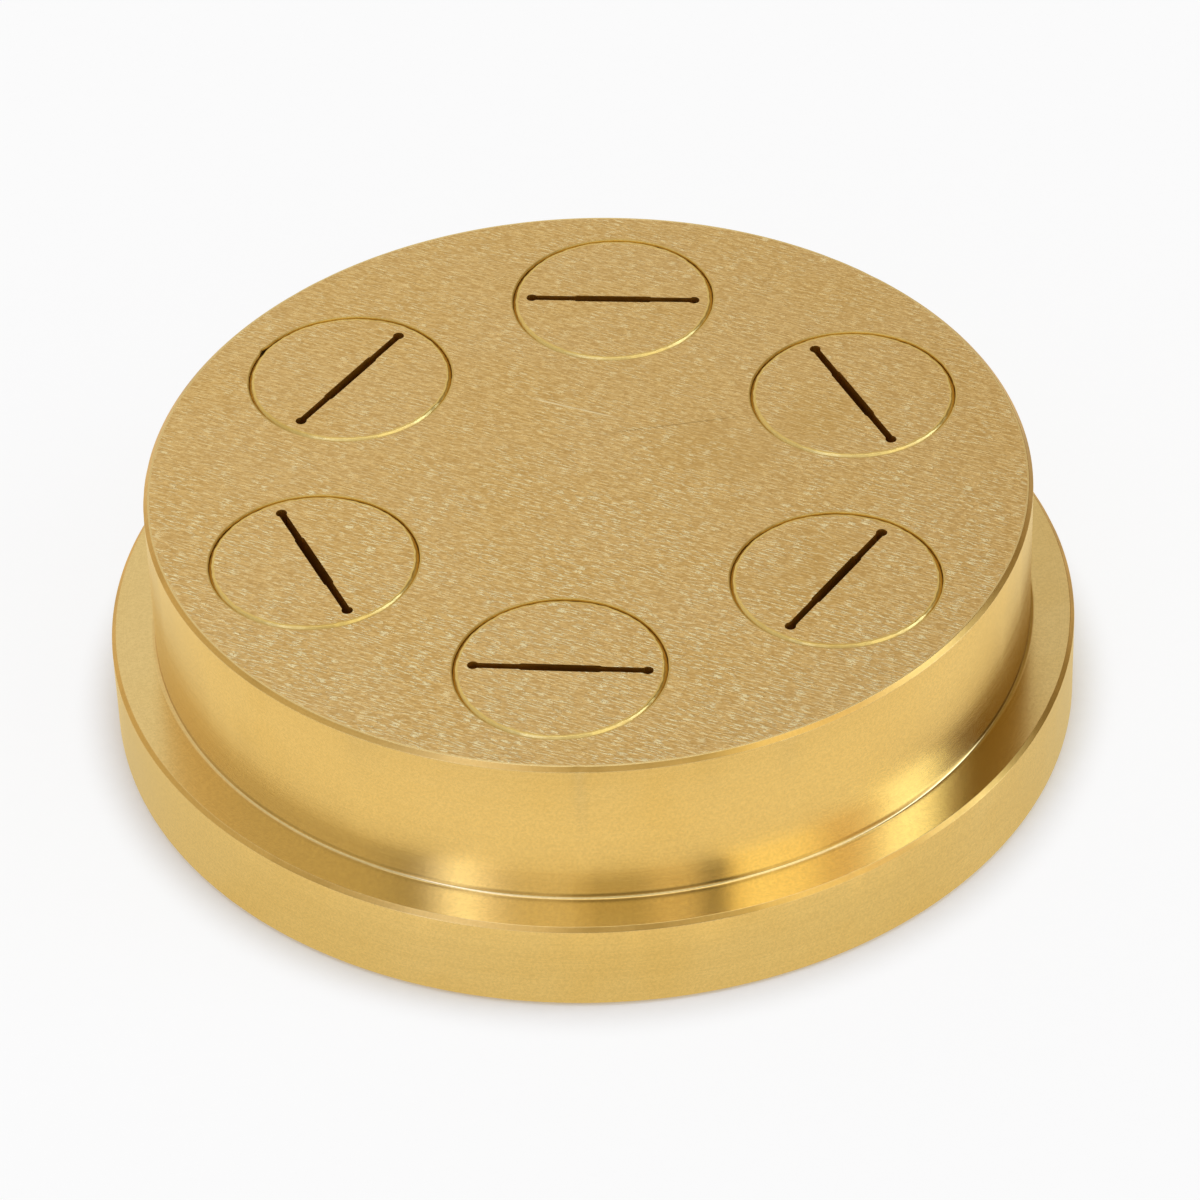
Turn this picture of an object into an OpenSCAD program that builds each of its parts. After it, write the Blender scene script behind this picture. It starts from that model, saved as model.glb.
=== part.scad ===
// Pasta extrusion die: a turned brass body with slotted inserts.
// It stands on its back face, where the dough is pressed in. The face on top is where the pasta comes out.

/* [Body] */
// Diameter of the flange, which the ring nut of the extruder clamps
flange_d = 59; // [54:0.5:80]
// Thickness of the flange
flange_h = 6; // [3:0.1:12]
// Width of the flat ledge round the spigot, which the ring nut bears on
ledge_w = 2.7; // [1.5:0.1:4.5]
// Height of the spigot above the flange
spigot_h = 9.9; // [5:0.1:20]
// Chamfer round the face
face_chamfer = 0.25; // [0.1:0.05:1]
// Chamfer on both edges of the flange
rim_chamfer = 0.25; // [0.1:0.05:1]
// Fillet in the corner between spigot and ledge
corner_fillet = 0.3; // [0.1:0.05:1]

/* [Insert pattern] */
// Number of inserts
insert_count = 6; // [3:1:7]
// Angle of the first insert, counted from the X axis in degrees
first_angle = 23.6; // [0:0.1:60]
// Metal left between an insert and the side of the spigot
face_wall = 2.65; // [2:0.05:4]

/* [Insert] */
// Diameter of the nose, which shows in the face
nose_d = 12.5; // [9:0.1:13.5]
// Chamfer round the nose, which shows as a fine ring in the face
nose_chamfer = 0.19; // [0.05:0.01:0.4]
// Width of the ledge on the head, which seats on the step in the bore
seat_w = 0.95; // [0.5:0.05:1.6]
// Height of the step in the bore above the back face
seat_h = 5; // [2:0.1:8]
// How far the head stays below the back face
head_recess = 0.2; // [0:0.05:0.5]
// Wall of the nose round the feed chamber
nose_wall = 0.7; // [0.5:0.05:2]
// Thickness of the land, the floor of the chamber that the slot is cut through
land_h = 2.5; // [1:0.1:4]
// Chamfer at the mouth of the feed chamber
lead_in = 0.8; // [0.2:0.1:1.2]
// Chamfer on the edge of the head and at the back of its bore
edge_break = 0.11; // [0.05:0.01:0.3]
// Gap between an insert and its bore, all round
fit_gap = 0.02; // [0.01:0.005:0.1]

/* [Slot] */
// Distance from the ends of the slot to the chamber wall
slot_margin = 0.12; // [0.05:0.01:1]
// Length of the wider middle stretch
middle_l = 4.6; // [2:0.1:7]
// Width of the wider middle stretch
middle_w = 0.6; // [0.5:0.01:1.2]
// Width of the two narrow stretches
narrow_w = 0.46; // [0.3:0.01:0.9]
// Diameter of the round bulb at each end
bulb_d = 0.68; // [0.4:0.01:1.4]

/* [Hidden] */
$fn = 128;
// Small angles, in degrees, by which the inserts were set off square by hand
set_turns = [0.2, 1.4, 0.7, -0.3, 0.5, 1.4];
// How far a cutter runs past the face that it opens
overrun = 1;

die_h = flange_h + spigot_h;
flange_r = flange_d / 2;
spigot_r = flange_r - ledge_w;
nose_r = nose_d / 2;
head_r = nose_r + seat_w;
chamber_r = nose_r - nose_wall;
pitch_r = spigot_r - face_wall - nose_r;
slot_l = 2 * (chamber_r - slot_margin);

// Half section of the turned body, with the bores left out
module body_section() {
    polygon([
        [0, 0],
        [flange_r - rim_chamfer, 0],
        [flange_r, rim_chamfer],
        [flange_r, flange_h - rim_chamfer],
        [flange_r - rim_chamfer, flange_h],
        [spigot_r, flange_h],
        [spigot_r, die_h - face_chamfer],
        [spigot_r - face_chamfer, die_h],
        [0, die_h]
    ]);
    translate([spigot_r, flange_h])
        difference() {
            square(corner_fillet);
            translate([corner_fillet, corner_fillet]) circle(corner_fillet);
        }
}

// Half section of the stepped bore that takes an insert, chamfered at the back and sharp in the face
module bore_section() {
    back_r = head_r + fit_gap;
    front_r = nose_r + fit_gap;
    polygon([
        [0, -overrun],
        [back_r + edge_break + overrun, -overrun],
        [back_r, edge_break],
        [back_r, seat_h],
        [front_r, seat_h],
        [front_r, die_h + overrun],
        [0, die_h + overrun]
    ]);
}

// Half section of an insert: nose, head and the feed chamber bored from the back
module insert_section() {
    floor_h = die_h - land_h;
    polygon([
        [0, die_h],
        [0, floor_h],
        [chamber_r, floor_h],
        [chamber_r, head_recess + lead_in],
        [chamber_r + lead_in, head_recess],
        [head_r - edge_break, head_recess],
        [head_r, head_recess + edge_break],
        [head_r, seat_h],
        [nose_r, seat_h],
        [nose_r, die_h - nose_chamfer],
        [nose_r - nose_chamfer, die_h]
    ]);
}

// Outline of the slot: narrow over its whole length, wider in the middle, round at both ends
module slot_outline() {
    bulb_y = (slot_l - bulb_d) / 2;
    square([narrow_w, 2 * bulb_y], center = true);
    square([middle_w, middle_l], center = true);
    for (y = [-bulb_y, bulb_y])
        translate([0, y]) circle(d = bulb_d);
}

// Carries a shape from the axis of the die to the place of insert i
module at_insert(i) {
    rotate(first_angle + (i - 1) * 360 / insert_count)
        translate([pitch_r, 0, 0])
            children();
}

module die_body() {
    color([0.86, 0.70, 0.40])
        difference() {
            rotate_extrude() body_section();
            for (i = [1 : insert_count])
                at_insert(i) rotate_extrude() bore_section();
        }
}

module die_insert(i) {
    color([0.80, 0.67, 0.44])
        at_insert(i)
            rotate(set_turns[(i - 1) % len(set_turns)])
                difference() {
                    rotate_extrude() insert_section();
                    translate([0, 0, die_h - land_h - overrun])
                        linear_extrude(land_h + 2 * overrun) slot_outline();
                }
}

die_body();
for (i = [1 : insert_count])
    die_insert(i);
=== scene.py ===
import bmesh
import bpy
import numpy as np
from mathutils import Matrix, Vector


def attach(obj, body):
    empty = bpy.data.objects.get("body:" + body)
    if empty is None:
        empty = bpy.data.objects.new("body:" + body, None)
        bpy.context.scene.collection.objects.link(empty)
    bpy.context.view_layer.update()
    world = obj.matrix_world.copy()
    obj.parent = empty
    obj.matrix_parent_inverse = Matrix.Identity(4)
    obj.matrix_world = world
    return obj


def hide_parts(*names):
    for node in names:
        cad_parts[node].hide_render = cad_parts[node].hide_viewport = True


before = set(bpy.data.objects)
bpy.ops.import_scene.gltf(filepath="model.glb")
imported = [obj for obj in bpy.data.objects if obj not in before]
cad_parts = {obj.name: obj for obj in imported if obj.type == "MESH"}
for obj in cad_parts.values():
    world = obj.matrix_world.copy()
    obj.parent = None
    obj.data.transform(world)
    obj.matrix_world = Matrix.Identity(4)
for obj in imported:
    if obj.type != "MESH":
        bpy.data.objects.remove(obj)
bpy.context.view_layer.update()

# The body is one brass disc, turned in a lathe: a flange below, a spigot above, and six stepped
# bores put through it for the inserts. Its edges are broken with a file, and its face is rubbed
# flat on abrasive paper together with the inserts once they are in.
MM = 0.001
DIE_H = 15.9
FLANGE_H = 6.0
FLANGE_R = 29.49
SPIGOT_R = 26.8
EDGE_CUT = 0.25
FLAT_EDGE = 0.12
FILED_EASE = 0.02
CORNER_FILLET = 0.2
LOW_RIM_EASE = 0.05
BACK_EASE = 0.04

INSERT_COUNT = 6
FIRST_ANGLE = np.radians(23.6)
SECTOR = 2 * np.pi / INSERT_COUNT
PITCH_R = 17.9
NOSE_BORE_R = 6.27
HEAD_BORE_R = 7.22
SEAT_H = 5.0
BORE_CUT = 0.11
BORE_EASE = 0.03
MOUTH_EASE = 0.07

KNOCK_TALL = 0.14
KNOCK_DROP = 0.12
KNOCK_LEAST_DEEP = 0.008
KNOCK_LEAST_WIDE = 0.30
# Two knocks that stand out: bearing in degrees, height, depth and width
SEEN_KNOCKS = ((-92.4, DIE_H - 0.1, 0.07, 0.35), (-60.0, FLANGE_H - 0.1, 0.06, 0.4))
MOUTH_RIPPLE = 0.008
MOUTH_DEEP = 0.1
NICKED_BORE = 3
NICK_TURN = np.radians(5.9)
NICK_WIDE = 0.3
NICK_DEEP = 0.12

ARC_STEPS = 120
SIDE_STEPS = 30
CORNER_STEPS = 5
BORE_STEPS = 3
RULES = (0.0, 0.3, 0.65, 1.0)
FLAT_HOLD = 1.4
WELD = 0.001
SHARP_TURN = np.radians(40)


def soft_section(corners, ease, steps):
    """Half section that runs straight from corner to corner, as radius and height.

    Each corner between the two ends becomes a parabola, which touches both sides at the distance
    `ease` from the corner. One more point on either side of it keeps the flats flat.
    """
    corners = np.asarray(corners, float)
    corner = corners[1:-1, None]
    back = corners[:-2, None] - corner
    ahead = corners[2:, None] - corner
    back = back / np.linalg.norm(back, axis=-1, keepdims=True)
    ahead = ahead / np.linalg.norm(ahead, axis=-1, keepdims=True)
    reach = np.asarray(ease, float)[:, None, None]
    share = np.linspace(0, 1, steps)[None, :, None]
    curve = corner + reach * (back * (1 - share) ** 2 + ahead * share ** 2)
    curve = np.concatenate([corner + FLAT_HOLD * reach * back, curve, corner + FLAT_HOLD * reach * ahead], 1)
    return np.concatenate([corners[:1], curve.reshape(-1, 2), corners[-1:]])


def side_row(corner, step):
    """Row of the body's side that holds one step of a corner's curve, counted from 0."""
    return corner * (CORNER_STEPS + 2) + step + 2


def revolve(radius, height, angles, axis=(0.0, 0.0)):
    """Each point of a half section goes round an upright axis.

    The radius times the cosine and the sine of the angle is added to the axis, at the point's own height.
    """
    radius, height, angles = np.broadcast_arrays(radius, height, angles)
    return np.stack([axis[0] + radius * np.cos(angles), axis[1] + radius * np.sin(angles), height], -1)


def ruled(first, second, shares):
    """Straight lines from each point of one edge to its partner on the other, cut at the given shares."""
    shares = np.asarray(shares, float)[:, None, None]
    return first * (1 - shares) + second * shares


def ripple(angles, depth, seed):
    """Unevenness of a hand-finished edge: four waves round the circle, each with its own phase."""
    phases = np.random.default_rng(seed).uniform(0, 2 * np.pi, 4)
    waves = np.array([5, 13, 29, 47])
    return depth / 2 * np.sin(waves[:, None] * angles + phases[:, None]).sum(0)


def edge_knocks(luck, count, edge_h, deepest, widest):
    """Random knocks just below one edge: bearing in degrees, height, depth and width."""
    bearing = luck.uniform(0, 360, count)
    depth = luck.uniform(KNOCK_LEAST_DEEP, deepest, count)
    width = luck.uniform(KNOCK_LEAST_WIDE, widest, count)
    return np.stack([bearing, np.full(count, edge_h - KNOCK_DROP), depth, width], 1)


def dents(radius, height, angles, knocks):
    """Depth of small knocks: a bell curve of the distance from each knock's centre, longer round than up."""
    at, level, depth, width = (column[:, None, None] for column in np.asarray(knocks, float).T)
    turn = np.angle(np.exp(1j * (angles - np.radians(at))))
    apart = (turn * radius / width) ** 2 + ((height - level) / KNOCK_TALL) ** 2
    return (depth * np.exp(-apart)).sum(0)


def sector_edge(radius):
    """Outline of one insert's share of the disc: out along one side, round the rim and back to the middle."""
    side = np.linspace(0, radius, SIDE_STEPS + 1)[:-1]
    turn = np.linspace(-SECTOR / 2, SECTOR / 2, ARC_STEPS + 1)
    along = np.concatenate([side, np.full_like(turn, radius), side[::-1]])
    angle = np.concatenate([np.full_like(side, turn[0]), turn, np.full_like(side, turn[-1])])
    return np.stack([along * np.cos(angle), along * np.sin(angle)], -1)


def turned_by(points, angle, height):
    """Flat points turned about the axis of the die and lifted to a height."""
    x, y = points[..., 0], points[..., 1]
    c, s = np.cos(angle), np.sin(angle)
    return np.stack([c * x - s * y, s * x + c * y, np.full_like(x, height)], -1)


def make_piece(name, patches):
    """One mesh from grids of points in millimetres, each with the material of its finish.

    The grids are joined in quads, welded where their edges meet, and turned to face outwards.
    """
    finishes = list(dict.fromkeys(finish for grid, finish in patches))
    starts = np.cumsum([0] + [grid.shape[0] * grid.shape[1] for grid, finish in patches])
    quads = []
    numbers = []
    for start, (grid, finish) in zip(starts, patches):
        corner = start + np.arange(grid.shape[0] * grid.shape[1]).reshape(grid.shape[:2])
        quad = np.stack([corner[:-1, :-1], corner[:-1, 1:], corner[1:, 1:], corner[1:, :-1]], -1)
        quads.append(quad.reshape(-1, 4))
        numbers.append(np.full(len(quads[-1]), finishes.index(finish), np.int32))
    points = np.concatenate([grid.reshape(-1, 3) for grid, finish in patches]) * MM
    mesh = bpy.data.meshes.new(name)
    mesh.from_pydata(points.tolist(), [], np.concatenate(quads).tolist())
    mesh.polygons.foreach_set("material_index", np.concatenate(numbers))
    mesh.polygons.foreach_set("use_smooth", np.ones(len(mesh.polygons), bool))
    welded = bmesh.new()
    welded.from_mesh(mesh)
    bmesh.ops.remove_doubles(welded, verts=welded.verts, dist=WELD * MM)
    bmesh.ops.recalc_face_normals(welded, faces=welded.faces)
    welded.to_mesh(mesh)
    welded.free()
    mesh.set_sharp_from_angle(angle=SHARP_TURN)
    for finish in finishes:
        mesh.materials.append(finish)
    made = bpy.data.objects.new(name, mesh)
    bpy.context.scene.collection.objects.link(made)
    return made


def feed(tree, socket, value):
    """Links a socket to another one, or writes a value into it."""
    if isinstance(value, bpy.types.NodeSocket):
        tree.links.new(value, socket)
    else:
        socket.default_value = value


def node(tree, kind, settings=None, **inputs):
    """Adds a shader node with its settings. Inputs go by name, with _ for a space."""
    made = tree.nodes.new("ShaderNode" + kind)
    for name, value in (settings or {}).items():
        setattr(made, name, value)
    for name, value in inputs.items():
        feed(tree, made.inputs[name.replace("_", " ")], value)
    return made


def maths(tree, operation, *values):
    """One step of arithmetic on numbers or sockets."""
    made = node(tree, "Math", {"operation": operation})
    for socket, value in zip(made.inputs, values):
        feed(tree, socket, value)
    return made.outputs[0]


def fade(tree, value, start, end):
    """Smooth step from 0 at start to 1 at end."""
    made = node(tree, "MapRange", {"interpolation_type": "SMOOTHSTEP"},
                Value=value, From_Min=start, From_Max=end)
    return made.outputs[0]


def tint(tree, share, first, second):
    """Colour between two others."""
    made = node(tree, "Mix", {"data_type": "RGBA"})
    for slot, value in ((0, share), (6, first), (7, second)):
        feed(tree, made.inputs[slot], value)
    return made.outputs[2]


def noise(tree, place, scale, detail=2.0, flat=False):
    """Smooth random values round one half, one swing to each unit of 1 / scale."""
    made = node(tree, "TexNoise", {"noise_dimensions": "2D" if flat else "3D"},
                Vector=place, Scale=scale, Detail=detail)
    return made.outputs["Fac"]


def new_brass(name):
    """An empty metal material: its node tree, its shader and the place of each point on the piece."""
    material = bpy.data.materials.new(name)
    material.use_nodes = True
    tree = material.node_tree
    shader = tree.nodes["Principled BSDF"]
    shader.inputs["Metallic"].default_value = 1.0
    return material, tree, shader, node(tree, "TexCoord").outputs["Object"]


STROKE_DEEP = 0.014
LAYER_SHIFT = 40.0
# Where the painted glint highlights grow from faint at the back to full at the front of the face
GLINT_FRONT = -22.0
GLINT_BACK = 12.0
CLEAN = (0.797, 0.528, 0.197, 1)
CLOUDED = (0.787, 0.507, 0.166, 1)
# Painted shade for the valleys and painted highlight for the ridges of the strokes
VALLEY_SHADE = (0.28, 0.17, 0.06, 1)
RIDGE_HIGHLIGHT = (1.0, 0.78, 0.38, 1)
RUBBED = (0.80, 0.555, 0.17, 1)
DARK_CUT = (0.30, 0.18, 0.05, 1)
# Painted highlight of the light scratch
SCRATCH_HIGHLIGHT = (1.0, 0.88, 0.56, 1)
# Painted highlight of the glints
GLINT = (1.0, 0.88, 0.53, 1)


def sanded_brass():
    """Brass rubbed on abrasive paper: short fine strokes in nearly one direction, whose deeper cuts glint, as
    bumps and with a painted highlight.

    Each layer of strokes is noise drawn out along its own direction. Some patches are rubbed smoother
    and stay yellower, and two single scratches cross the middle.
    """
    material, tree, shader, place = new_brass("sanded_brass")

    def laid(turn, length, width, x, y):
        """Place on the face from (x, y), turned by some degrees, counted in lengths and widths."""
        made = node(tree, "Mapping", {"vector_type": "TEXTURE"}, Vector=place,
                    Location=(x * MM, y * MM, DIE_H * MM), Rotation=(0.0, 0.0, np.radians(turn)),
                    Scale=(length * MM, width * MM, MM))
        return made.outputs[0]

    def strokes(layer, turn, length, width, detail):
        """Noise drawn out into strokes of a length and width. Each layer starts from a place of its own."""
        start = layer * LAYER_SHIFT
        return noise(tree, laid(turn, length, width, start, start), 1.0, detail, flat=True)

    def scratch(x, y, turn, length, width):
        """Share of a straight scratch: 1 along its line, 0 beyond its ends and sides."""
        split = node(tree, "SeparateXYZ", Vector=laid(turn, length / 2, width / 2, x, y))
        along = fade(tree, maths(tree, "ABSOLUTE", split.outputs[0]), 1.0, 0.5)
        across = fade(tree, maths(tree, "ABSOLUTE", split.outputs[1]), 1.0, 0.2)
        return maths(tree, "MULTIPLY", along, across)

    def patch(x, y, turn, length, width):
        """Share of a smooth patch: 1 in its middle, 0 beyond an uneven oval."""
        reach = node(tree, "VectorMath", {"operation": "LENGTH"}, Vector=laid(turn, length, width, x, y))
        uneven = maths(tree, "MULTIPLY_ADD", blots, 0.9, reach.outputs["Value"])
        return fade(tree, uneven, 1.75, 0.60)

    # Layers of strokes, each with its direction in degrees and its size in millimetres
    long_strokes = strokes(0, turn=-25, length=1.5, width=0.12, detail=1.0)
    short_strokes = strokes(1, turn=-27, length=0.72, width=0.095, detail=0.5)
    steep_strokes = strokes(2, turn=-17, length=0.50, width=0.09, detail=0.5)
    crossed = strokes(3, turn=58, length=0.70, width=0.09, detail=1.0)
    grain = strokes(4, turn=-25, length=0.22, width=0.15, detail=2.0)
    blots = noise(tree, place, 420.0, 3.0)
    clouds = noise(tree, place, 130.0, 3.0)
    forward = node(tree, "SeparateXYZ", Vector=place).outputs[1]
    front_glint_share = fade(tree, forward, GLINT_BACK * MM, GLINT_FRONT * MM)

    # Three patches that the paper rubbed smoother, and the two scratches, by their places on the face
    smooth = patch(13.4, -9.6, turn=50, length=5.0, width=2.8)
    smooth = maths(tree, "MAXIMUM", smooth, patch(8.0, 2.5, turn=-20, length=5.0, width=3.6))
    smooth = maths(tree, "MAXIMUM", smooth, patch(14.2, 4.6, turn=60, length=3.4, width=2.2))
    smooth = maths(tree, "MULTIPLY", smooth, 0.22)
    rough_share = maths(tree, "SUBTRACT", 1.0, smooth)
    light_scratch = maths(tree, "MULTIPLY", scratch(-0.75, 6.8, turn=-23.4, length=6.6, width=0.20),
                          fade(tree, blots, 0.25, 0.50))
    dark_scratch = scratch(5.25, 4.7, turn=8.4, length=9.6, width=0.20)

    # The ridges add up from the layers, and the deepest short strokes glint, as bumps and as painted
    # highlights, which are painted stronger towards the front
    dashes = maths(tree, "MAXIMUM", fade(tree, short_strokes, 0.50, 0.70),
                   fade(tree, steep_strokes, 0.54, 0.72))
    ridges = maths(tree, "MULTIPLY_ADD", crossed, 0.25, maths(tree, "MULTIPLY", dashes, 0.40))
    ridges = maths(tree, "MULTIPLY_ADD", fade(tree, long_strokes, 0.38, 0.68), 0.34, ridges)
    ridges = maths(tree, "MULTIPLY_ADD", fade(tree, grain, 0.32, 0.68), 0.22, ridges)
    ridges = maths(tree, "MULTIPLY", ridges, rough_share)
    glinting_strokes = maths(tree, "MULTIPLY_ADD", front_glint_share, 0.025, short_strokes)
    glints = maths(tree, "MULTIPLY", fade(tree, glinting_strokes, 0.61, 0.66), fade(tree, grain, 0.28, 0.46))
    glints = maths(tree, "MULTIPLY", glints, maths(tree, "MULTIPLY_ADD", front_glint_share, 0.9, 0.5))
    spread = maths(tree, "MULTIPLY_ADD", fade(tree, blots, 0.40, 0.60), 0.8, 0.4)
    glints = maths(tree, "MULTIPLY", maths(tree, "MULTIPLY", glints, spread), rough_share)

    # Colour from the valleys to the ridges, as painted shade and painted highlight, then the patches, the
    # glints and the scratches over it
    colour = tint(tree, fade(tree, clouds, 0.35, 0.65), CLEAN, CLOUDED)
    low = tint(tree, 0.27, colour, VALLEY_SHADE)
    high = tint(tree, 0.58, colour, RIDGE_HIGHLIGHT)
    colour = tint(tree, fade(tree, ridges, 0.0, 1.0), low, high)
    colour = tint(tree, maths(tree, "MULTIPLY", smooth, 0.4), colour, RUBBED)
    colour = tint(tree, maths(tree, "MULTIPLY", dark_scratch, 0.40), colour, DARK_CUT)
    # Painted highlight of the glints
    colour = tint(tree, glints, colour, GLINT)
    # The light scratch is a real bumped scratch with a painted highlight on it
    colour = tint(tree, maths(tree, "MULTIPLY", light_scratch, 0.85), colour, SCRATCH_HIGHLIGHT)
    feed(tree, shader.inputs["Base Color"], colour)
    feed(tree, shader.inputs["Roughness"], maths(tree, "MULTIPLY_ADD", ridges, -0.10, 0.36))
    height = maths(tree, "ADD", maths(tree, "MAXIMUM", glints, light_scratch), ridges)
    bump = node(tree, "Bump", Strength=1.0, Distance=STROKE_DEEP * MM, Height=height)
    feed(tree, shader.inputs["Normal"], bump.outputs[0])
    return material


BRASS_GRAIN = 0.16
# Where the painted shade in the corner over the ledge starts and is full, above the ledge and inside the wall
CORNER_SHADE_STARTS = (0.08, 0.18)
CORNER_SHADE_ENDS = (0.44, 0.24)
CORNER_SHADE_INSIDE = (0.8, 0.3)
SHADED_LINE = (0.30, 0.17, 0.03, 1)
DIRT_AND_CORNER_SHADE = (0.06, 0.035, 0.01, 1)


def turned_brass(name, bright, dull, rough, line_pitch, drawn=1.0, line_deep=0.0008):
    """Brass as the lathe tool left it: fine lines round the axis, a little tarnish and a few specks of dirt.

    The lines are noise of the radius and the height alone. Painted shade also darkens the corner over the
    ledge.
    """
    material, tree, shader, place = new_brass(name)
    split = node(tree, "SeparateXYZ", Vector=place)
    height = split.outputs[2]
    flat_place = node(tree, "CombineXYZ", X=split.outputs[0], Y=split.outputs[1]).outputs[0]
    radius = node(tree, "VectorMath", {"operation": "LENGTH"}, Vector=flat_place).outputs["Value"]
    section = node(tree, "CombineXYZ", X=radius, Y=height).outputs[0]
    lines = noise(tree, section, 1 / (line_pitch * MM), 3.0, flat=True)
    grain = noise(tree, place, 1 / (BRASS_GRAIN * MM), 2.0)
    tarnish = noise(tree, place, 120.0, 4.0)

    # Specks of dirt in a few of the cells, and painted shade in the corner over the ledge
    cells = node(tree, "TexVoronoi", Vector=place, Scale=190.0)
    chosen = node(tree, "SeparateColor", Color=cells.outputs["Color"]).outputs[0]
    specks = maths(tree, "MULTIPLY", fade(tree, cells.outputs["Distance"], 0.022, 0.014),
                   fade(tree, chosen, 0.80, 0.81))
    # Painted shade in the corner over the ledge
    corner = maths(tree, "MULTIPLY", fade(tree, height, *((FLANGE_H + up) * MM for up in CORNER_SHADE_STARTS)),
                   fade(tree, height, *((FLANGE_H + up) * MM for up in CORNER_SHADE_ENDS)))
    corner = maths(tree, "MULTIPLY", corner,
                   fade(tree, radius, *((SPIGOT_R - inside) * MM for inside in CORNER_SHADE_INSIDE)))
    corner = maths(tree, "MULTIPLY", corner,
                   maths(tree, "MULTIPLY_ADD", fade(tree, tarnish, 0.35, 0.65), 0.35, 0.20))

    colour = tint(tree, fade(tree, tarnish, 0.45, 0.75), bright, dull)
    shaded = maths(tree, "MULTIPLY_ADD", fade(tree, lines, 0.75, 0.25), 0.07,
                   maths(tree, "MULTIPLY", fade(tree, grain, 0.70, 0.30), 0.12))
    colour = tint(tree, shaded, colour, SHADED_LINE)
    # Dark specks of dirt, and painted shade in the corner
    colour = tint(tree, maths(tree, "MAXIMUM", specks, corner), colour, DIRT_AND_CORNER_SHADE)
    feed(tree, shader.inputs["Base Color"], colour)
    feed(tree, shader.inputs["Roughness"], maths(tree, "MULTIPLY_ADD", lines, 0.6 * rough, 0.7 * rough))
    shader.inputs["Anisotropic"].default_value = drawn
    shader.inputs["Anisotropic Rotation"].default_value = 0.25
    tangent = node(tree, "Tangent", {"direction_type": "RADIAL", "axis": "Z"})
    feed(tree, shader.inputs["Tangent"], tangent.outputs[0])
    bump = node(tree, "Bump", Strength=1.0, Distance=line_deep * MM, Height=lines)
    feed(tree, shader.inputs["Normal"], bump.outputs[0])
    return material


face_finish = sanded_brass()
side_finish = turned_brass("turned_brass", bright=(0.92, 0.724, 0.352, 1), dull=(0.90, 0.688, 0.305, 1),
                           rough=0.19, line_pitch=0.08)
wall_finish = turned_brass("spigot_brass", bright=(0.90, 0.702, 0.335, 1), dull=(0.88, 0.668, 0.290, 1),
                           rough=0.18, line_pitch=0.06, line_deep=0.003)
ledge_finish = turned_brass("faced_brass", bright=(0.935, 0.728, 0.335, 1), dull=(0.915, 0.692, 0.290, 1),
                            rough=0.13, line_pitch=0.08)
bore_finish = turned_brass("bored_brass", bright=(0.75, 0.55, 0.195, 1), dull=(0.65, 0.46, 0.145, 1),
                           rough=0.34, line_pitch=0.12, drawn=0.0)
# The filed chamfers are painted darker than the rest of the brass, as painted shade
filed_shaded_finish = turned_brass("filed_brass_shaded", bright=(0.80, 0.50, 0.135, 1), dull=(0.52, 0.31, 0.07, 1),
                            rough=0.32, line_pitch=0.10, drawn=0.3)
corner_finish = turned_brass("corner_brass", bright=(0.92, 0.70, 0.32, 1), dull=(0.90, 0.665, 0.275, 1),
                             rough=0.15, line_pitch=0.08, drawn=0.0)

side = soft_section(
    [(SPIGOT_R - EDGE_CUT - FLAT_EDGE, DIE_H), (SPIGOT_R - EDGE_CUT, DIE_H), (SPIGOT_R, DIE_H - EDGE_CUT),
     (SPIGOT_R, FLANGE_H), (FLANGE_R - EDGE_CUT, FLANGE_H), (FLANGE_R, FLANGE_H - EDGE_CUT),
     (FLANGE_R, EDGE_CUT), (FLANGE_R - EDGE_CUT, 0.0), (FLANGE_R - EDGE_CUT - FLAT_EDGE, 0.0)],
    (FILED_EASE, FILED_EASE, CORNER_FILLET, FILED_EASE, FILED_EASE, LOW_RIM_EASE, BACK_EASE),
    CORNER_STEPS)
side_r, side_z = side[:, :1], side[:, 1:]
around = FIRST_ANGLE - SECTOR / 2 + np.linspace(0, 2 * np.pi, INSERT_COUNT * ARC_STEPS + 1)
luck = np.random.default_rng(11)
face_knocks = edge_knocks(luck, count=26, edge_h=DIE_H, deepest=0.03, widest=0.80)
flange_knocks = edge_knocks(luck, count=34, edge_h=FLANGE_H, deepest=0.035, widest=0.90)
worn = dents(side_r, side_z, around, np.concatenate([face_knocks, flange_knocks, SEEN_KNOCKS]))
# The end rows stay free of knocks, so that they meet the face and the back
worn[[0, -1]] = 0.0
turned = revolve(side_r - worn, side_z, around)
# Bands of the side from the face down, each from one of these rows to the next
band_ends = (0, side_row(0, 3), side_row(1, 1), side_row(2, 0), side_row(2, 4), side_row(3, 3),
             side_row(4, 1), len(side) - 1)
bands = (side_finish, filed_shaded_finish, wall_finish, corner_finish, ledge_finish, filed_shaded_finish, side_finish)
patches = [(turned[first:last + 1], finish) for first, last, finish in zip(band_ends, band_ends[1:], bands)]

bore = soft_section(
    [(NOSE_BORE_R + FLAT_EDGE, DIE_H), (NOSE_BORE_R, DIE_H), (NOSE_BORE_R, SEAT_H), (HEAD_BORE_R, SEAT_H),
     (HEAD_BORE_R, BORE_CUT), (HEAD_BORE_R + BORE_CUT, 0.0), (HEAD_BORE_R + BORE_CUT + FLAT_EDGE, 0.0)],
    (MOUTH_EASE, BORE_EASE, BORE_EASE, BORE_EASE, BORE_EASE), BORE_STEPS)
face_edge = sector_edge(SPIGOT_R - EDGE_CUT - FLAT_EDGE)
back_edge = sector_edge(FLANGE_R - EDGE_CUT - FLAT_EDGE)
bore_turn = np.unwrap(np.arctan2(face_edge[:, 1], face_edge[:, 0] - PITCH_R))
bore_turn[[0, -1]] = -np.pi, np.pi
nick = np.exp(-(np.angle(np.exp(1j * (bore_turn - NICK_TURN))) * NOSE_BORE_R / NICK_WIDE) ** 2)
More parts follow.
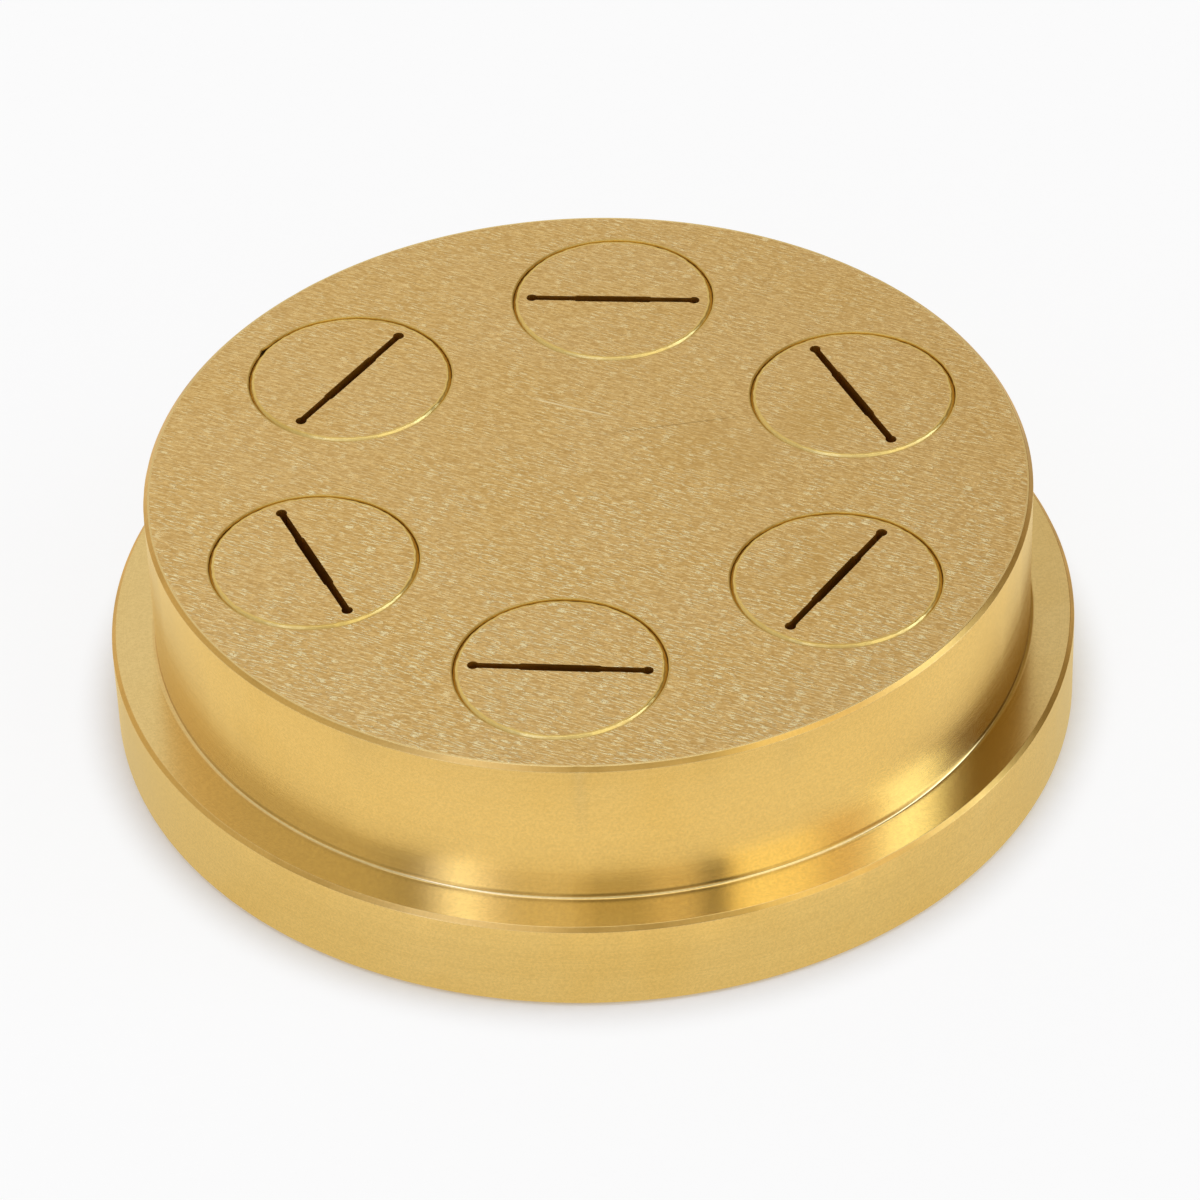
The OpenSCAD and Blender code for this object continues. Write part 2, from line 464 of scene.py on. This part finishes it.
for number in range(INSERT_COUNT):
    angle = FIRST_ANGLE + number * SECTOR
    centre = PITCH_R * np.array([np.cos(angle), np.sin(angle)])
    mouth = ripple(bore_turn, MOUTH_RIPPLE, number) + NICK_DEEP * nick * (number + 1 == NICKED_BORE)
    mouth = mouth * (bore[:, 1:] > DIE_H - MOUTH_DEEP)
    wall = revolve(bore[:, :1] + mouth, bore[:, 1:], bore_turn + angle, centre)
    patches.append((wall, bore_finish))
    patches.append((ruled(wall[0], turned_by(face_edge, angle, DIE_H), RULES), face_finish))
    patches.append((ruled(wall[-1], turned_by(back_edge, angle, 0.0), RULES), side_finish))

body = make_piece("turned_body", patches)
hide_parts("die_body")
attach(body, "root")

# Each insert is a small turned brass cup, pushed into its bore from the back until its head seats
# on the step. The dough comes into its chamber and leaves through the slot, which is cut through
# the thin land at the top: wider in the middle, narrow towards a round bulb at each end.
NOSE_R = 6.25
NOSE_CUT = 0.19
HEAD_R = 7.2
HEAD_RECESS = 0.2
CHAMBER_R = 5.55
LEAD_IN = 0.8
LAND_H = 2.5
BULB_R = 0.34
BULB_Y = 5.09
NARROW_HALF = 0.23
MIDDLE_HALF = 0.30
MIDDLE_END = 2.3
SET_TURNS = np.radians([0.2, 1.4, 0.7, -0.3, 0.5, 1.4])
CUP_EASE = 0.03
SEAT_EASE = 0.02
CHAMBER_EASE = 0.04
CUP_STEPS = 4
CUP_TURN_STEPS = 240
CUT_RULES = (0.0, 0.5, 1.0)
NOSE_RIPPLE = 0.022
NOSE_RIPPLE_DEEP = 0.05
NOSE_SEED = 20


def slot_edge(angles, top_r):
    """Outline of the slot, one point for each angle round the insert.

    Up to the necks, a point has the height of its partner on the circle of radius `top_r` and stands
    half the slot's width from the middle. Beyond the necks, the points go round the bulb.
    """
    lift = np.arcsin(np.clip(np.sin(angles), -1, 1))
    neck_turn = np.arccos(NARROW_HALF / BULB_R)
    neck = np.arcsin((BULB_Y - BULB_R * np.sin(neck_turn)) / top_r)
    high = np.abs(lift)
    rise = top_r * np.sin(high)
    straight = np.where(rise <= MIDDLE_END, MIDDLE_HALF, NARROW_HALF)
    bulb = -neck_turn + (high - neck) / (np.pi / 2 - neck) * (np.pi / 2 + neck_turn)
    x = np.where(high < neck, straight, BULB_R * np.cos(bulb))
    y = np.where(high < neck, rise, BULB_Y + BULB_R * np.sin(bulb))
    return np.stack([np.where(np.cos(angles) < 0, -x, x), np.sign(lift) * y], -1)


edge_finish = turned_brass("broken_edge_brass", bright=(0.91, 0.69, 0.24, 1), dull=(0.75, 0.53, 0.15, 1),
                           rough=0.32, line_pitch=0.05, drawn=0.0)
# The slot's walls are painted dark red-brown, as painted shade in the narrow slot
slot_shaded_finish = turned_brass("cut_brass_shaded", bright=(0.62, 0.30, 0.03, 1), dull=(0.50, 0.23, 0.018, 1),
                           rough=0.52, line_pitch=0.15, drawn=0.0)

cup = soft_section(
    [(NOSE_R - NOSE_CUT - FLAT_EDGE, DIE_H), (NOSE_R - NOSE_CUT, DIE_H), (NOSE_R, DIE_H - NOSE_CUT),
     (NOSE_R, SEAT_H), (HEAD_R, SEAT_H), (HEAD_R, HEAD_RECESS + BORE_CUT), (HEAD_R - BORE_CUT, HEAD_RECESS),
     (CHAMBER_R + LEAD_IN, HEAD_RECESS), (CHAMBER_R, HEAD_RECESS + LEAD_IN), (CHAMBER_R, DIE_H - LAND_H),
     (CHAMBER_R - FLAT_EDGE, DIE_H - LAND_H)],
    (CUP_EASE, CUP_EASE, SEAT_EASE, CUP_EASE, CUP_EASE, CUP_EASE, CUP_EASE, CHAMBER_EASE, CUP_EASE),
    CUP_STEPS)
cup_turn = np.radians(np.linspace(-180, 180, CUP_TURN_STEPS + 1))
nose_rows = 1 + 2 * (CUP_STEPS + 2)
outline = slot_edge(cup_turn, NOSE_R - NOSE_CUT - FLAT_EDGE)
for number in range(INSERT_COUNT):
    angle = FIRST_ANGLE + number * SECTOR
    centre = PITCH_R * np.array([np.cos(angle), np.sin(angle), 0.0])
    turn = angle + SET_TURNS[number]
    rough_edge = ripple(cup_turn, NOSE_RIPPLE, NOSE_SEED + number) * (cup[:, 1:] > DIE_H - NOSE_RIPPLE_DEEP)
    wall = revolve(cup[:, :1] + rough_edge, cup[:, 1:], cup_turn + turn) + centre
    slot_top = turned_by(outline, turn, DIE_H) + centre
    slot_low = turned_by(outline, turn, DIE_H - LAND_H) + centre
    insert = make_piece(f"slotted_insert_{number + 1}", [
        (ruled(slot_top, wall[0], RULES), face_finish),
        (wall[:nose_rows], edge_finish),
        (wall[nose_rows - 1:], bore_finish),
        (ruled(wall[-1], slot_low, CUT_RULES), bore_finish),
        (ruled(slot_low, slot_top, CUT_RULES), slot_shaded_finish),
    ])
    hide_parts(f"insert_{number + 1}")
    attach(insert, "root")

# The floor is a wide sheet of white paper, which the die stands on. The paper under the die stays
# dark, so that no light comes up through the slots, and a painted warm glow round the die stands for the
# light it throws back.
FLOOR_RINGS = (0.0, 30.0, 60.0, 300.0, 1000.0, 3000.0)
FLOOR_STEPS = 96
FLOOR_DROP = 0.02
OWN_LIGHT = 0.85
WHITE = (1.0, 1.0, 1.0, 1)
PAPER_DARK = (0.88, 0.88, 0.87, 1)
PAPER_PALE = (0.93, 0.93, 0.92, 1)
# Colours of the painted warm glow round the die, seen only in the brass
WARM_NEAR = (0.80, 0.665, 0.365, 1)
WARM_RING = (1.10, 0.895, 0.472, 1)
WARM_FAR = (0.80, 0.648, 0.326, 1)
# Where each stretch of the paper starts and is full, as its radius from the die's axis
RING_START_R = (34.5, 38.5)
RING_END_R = (41.0, 46.0)
WHITE_START_R = (48.0, 90.0)
SEEN_START_R = (FLANGE_R - 1.0, FLANGE_R + 3.0)
MIRRORED_START_R = (FLANGE_R - 3.0, FLANGE_R)


def white_paper():
    """Matt paper. Where it is looked at, directly or in the brass, most of its white is its own light.

    In the brass it goes from a painted warm glow round the die to plain white further out, by its radius.
    """
    material = bpy.data.materials.new("white_paper")
    material.use_nodes = True
    tree = material.node_tree
    tree.nodes.clear()
    place = node(tree, "TexCoord").outputs["Object"]
    radius = node(tree, "VectorMath", {"operation": "LENGTH"}, Vector=place).outputs["Value"]

    def beyond(start, end):
        """Smooth step from 0 at one radius to 1 at another."""
        return fade(tree, radius, start * MM, end * MM)

    grain = noise(tree, place, 900.0)
    paper = node(tree, "BsdfDiffuse", Color=tint(tree, grain, PAPER_DARK, PAPER_PALE))
    ray = node(tree, "LightPath")
    seen = ray.outputs["Is Camera Ray"]
    mirrored = maths(tree, "MAXIMUM", ray.outputs["Is Glossy Ray"], ray.outputs["Is Transmission Ray"])
    # Painted warm glow round the die, seen only in the brass
    warm = tint(tree, beyond(*RING_START_R), WARM_NEAR, WARM_RING)
    warm = tint(tree, beyond(*RING_END_R), warm, WARM_FAR)
    plain = maths(tree, "MAXIMUM", seen, beyond(*WHITE_START_R))
    glow = node(tree, "Emission", Color=tint(tree, plain, warm, WHITE), Strength=1.0)
    glowing = maths(tree, "MAXIMUM", maths(tree, "MULTIPLY", seen, beyond(*SEEN_START_R)),
                    maths(tree, "MULTIPLY", mirrored, beyond(*MIRRORED_START_R)))
    both = node(tree, "MixShader", Fac=maths(tree, "MULTIPLY", glowing, OWN_LIGHT))
    tree.links.new(paper.outputs[0], both.inputs[1])
    tree.links.new(glow.outputs[0], both.inputs[2])
    tree.links.new(both.outputs[0], node(tree, "OutputMaterial").inputs["Surface"])
    return material


rings = np.array(FLOOR_RINGS)[:, None]
paper_turn = np.linspace(0, 2 * np.pi, FLOOR_STEPS + 1)
floor = make_piece("floor", [(revolve(rings, -FLOOR_DROP, paper_turn), white_paper())])

# The light is a pale room with cool windows, warm shade and dark gaps, each given by its bearing
# from the camera, counted to the right, and its colour. On the camera's side, a dim strip lies over
# dark ground. One round lamp hangs overhead, and the ceiling behind it is darker.
ROOM = ((-180, 0.82, 0.78, 0.70), (-162, 0.75, 0.67, 0.54), (-130, 0.73, 0.64, 0.50),
        (-105, 0.66, 0.64, 0.62), (-64, 0.63, 0.62, 0.60), (-50, 0.42, 0.42, 0.44),
        (-46.5, 0.55, 0.58, 0.80), (-43.5, 1.30, 1.50, 2.60), (-36, 1.90, 2.20, 3.40),
        (-32, 1.15, 1.25, 1.90), (-23.5, 0.78, 0.80, 0.92), (-20, 0.86, 0.87, 0.95),
        (-7, 0.85, 0.86, 0.94), (-3, 0.62, 0.62, 0.62), (10, 0.60, 0.60, 0.60), (17, 0.88, 0.86, 0.92),
        (26, 0.80, 0.79, 0.82), (28, 0.02, 0.015, 0.01), (31.5, 0.02, 0.015, 0.01),
        (33.5, 1.05, 1.02, 0.95), (36, 1.42, 1.44, 1.30), (58.5, 1.42, 1.42, 1.26),
        (60, 0.25, 0.20, 0.14), (61.5, 1.10, 0.94, 0.75), (75.5, 0.62, 0.50, 0.38),
        (80, 1.80, 2.10, 2.80), (97.8, 2.10, 2.55, 3.40), (100.3, 0.32, 0.26, 0.18),
        (104, 0.17, 0.12, 0.035), (124, 0.25, 0.18, 0.07), (160, 0.31, 0.21, 0.085),
        (180, 0.82, 0.78, 0.70))
ROOM_TOP = 3.4
BLACK = (0.0, 0.0, 0.0, 1)
STRIP = (0.38, 0.38, 0.36, 1)
# Where each stretch starts and is full, as the part of the direction that points to the camera or up
CAMERA_SIDE = (0.0, 0.3)
GROUND_TOP = (0.20, 0.10)
GROUND_DARK = 0.85
STRIP_LOW = (0.16, 0.24)
STRIP_HIGH = (0.40, 0.30)
CEILING_LOW = (0.86, 0.95)
CEILING_DARK = 0.75
LAMP_ACROSS = 800.0
LAMP_H = 900.0
LAMP_POWER = 1.70

scene = bpy.context.scene
scene.view_settings.view_transform = "Standard"
room = bpy.data.worlds.new("studio")
room.use_nodes = True
scene.world = room
tree = room.node_tree
tree.nodes.clear()
way = node(tree, "SeparateXYZ", Vector=node(tree, "TexCoord").outputs["Generated"])
up = way.outputs[2]
ahead = maths(tree, "MULTIPLY", way.outputs[1], -1.0)
bearing = maths(tree, "ARCTAN2", way.outputs[0], ahead)
panels = node(tree, "ValToRGB", Fac=maths(tree, "MULTIPLY_ADD", bearing, 0.5 / np.pi, 0.5))
stops = panels.color_ramp.elements
for at, *colour in ROOM[1:-1]:
    stops.new(at / 360 + 0.5)
for stop, (at, *colour) in zip(stops, ROOM):
    stop.position = at / 360 + 0.5
    stop.color = (colour[0] / ROOM_TOP, colour[1] / ROOM_TOP, colour[2] / ROOM_TOP, 1.0)
near_side = fade(tree, ahead, *CAMERA_SIDE)
ground = maths(tree, "MULTIPLY", near_side, fade(tree, up, *GROUND_TOP))
strip = maths(tree, "MULTIPLY", fade(tree, up, *STRIP_LOW), fade(tree, up, *STRIP_HIGH))
shaded = tint(tree, maths(tree, "MULTIPLY", ground, GROUND_DARK), panels.outputs[0], BLACK)
shaded = tint(tree, maths(tree, "MULTIPLY", strip, near_side), shaded, STRIP)
shaded = tint(tree, maths(tree, "MULTIPLY", fade(tree, up, *CEILING_LOW), CEILING_DARK), shaded, BLACK)
lit = node(tree, "Background", Color=shaded, Strength=ROOM_TOP)
white = node(tree, "Background", Color=WHITE, Strength=1.0)
both = node(tree, "MixShader", Fac=node(tree, "LightPath").outputs["Is Camera Ray"])
tree.links.new(lit.outputs[0], both.inputs[1])
tree.links.new(white.outputs[0], both.inputs[2])
tree.links.new(both.outputs[0], node(tree, "OutputWorld").inputs["Surface"])

lamp = bpy.data.lights.new("overhead_lamp", "AREA")
lamp.shape = "DISK"
lamp.size = LAMP_ACROSS * MM
lamp.energy = LAMP_POWER
overhead = bpy.data.objects.new("overhead_lamp", lamp)
overhead.location = (0.0, 0.0, LAMP_H * MM)
scene.collection.objects.link(overhead)

# The camera looks down on the face from the front, a little tilted, through a long lens.
# It stands about 350 mm from the die and 39 degrees above the floor.
EYE = Vector((0.0, -272.949, 231.570)) * MM
AIM = Vector((0.476, -0.583, 6.668)) * MM
ROLL = np.radians(-2.059)
LENS = 173.14
SENSOR = 36.0
NEAREST = 10.0

camera = bpy.data.objects.new("camera", bpy.data.cameras.new("camera"))
camera.data.sensor_width = SENSOR
camera.data.lens = LENS
camera.data.clip_start = NEAREST * MM
camera.matrix_world = (Matrix.Translation(EYE) @ (AIM - EYE).to_track_quat("-Z", "Y").to_matrix().to_4x4()
                       @ Matrix.Rotation(ROLL, 4, "Z"))
scene.collection.objects.link(camera)
scene.camera = camera
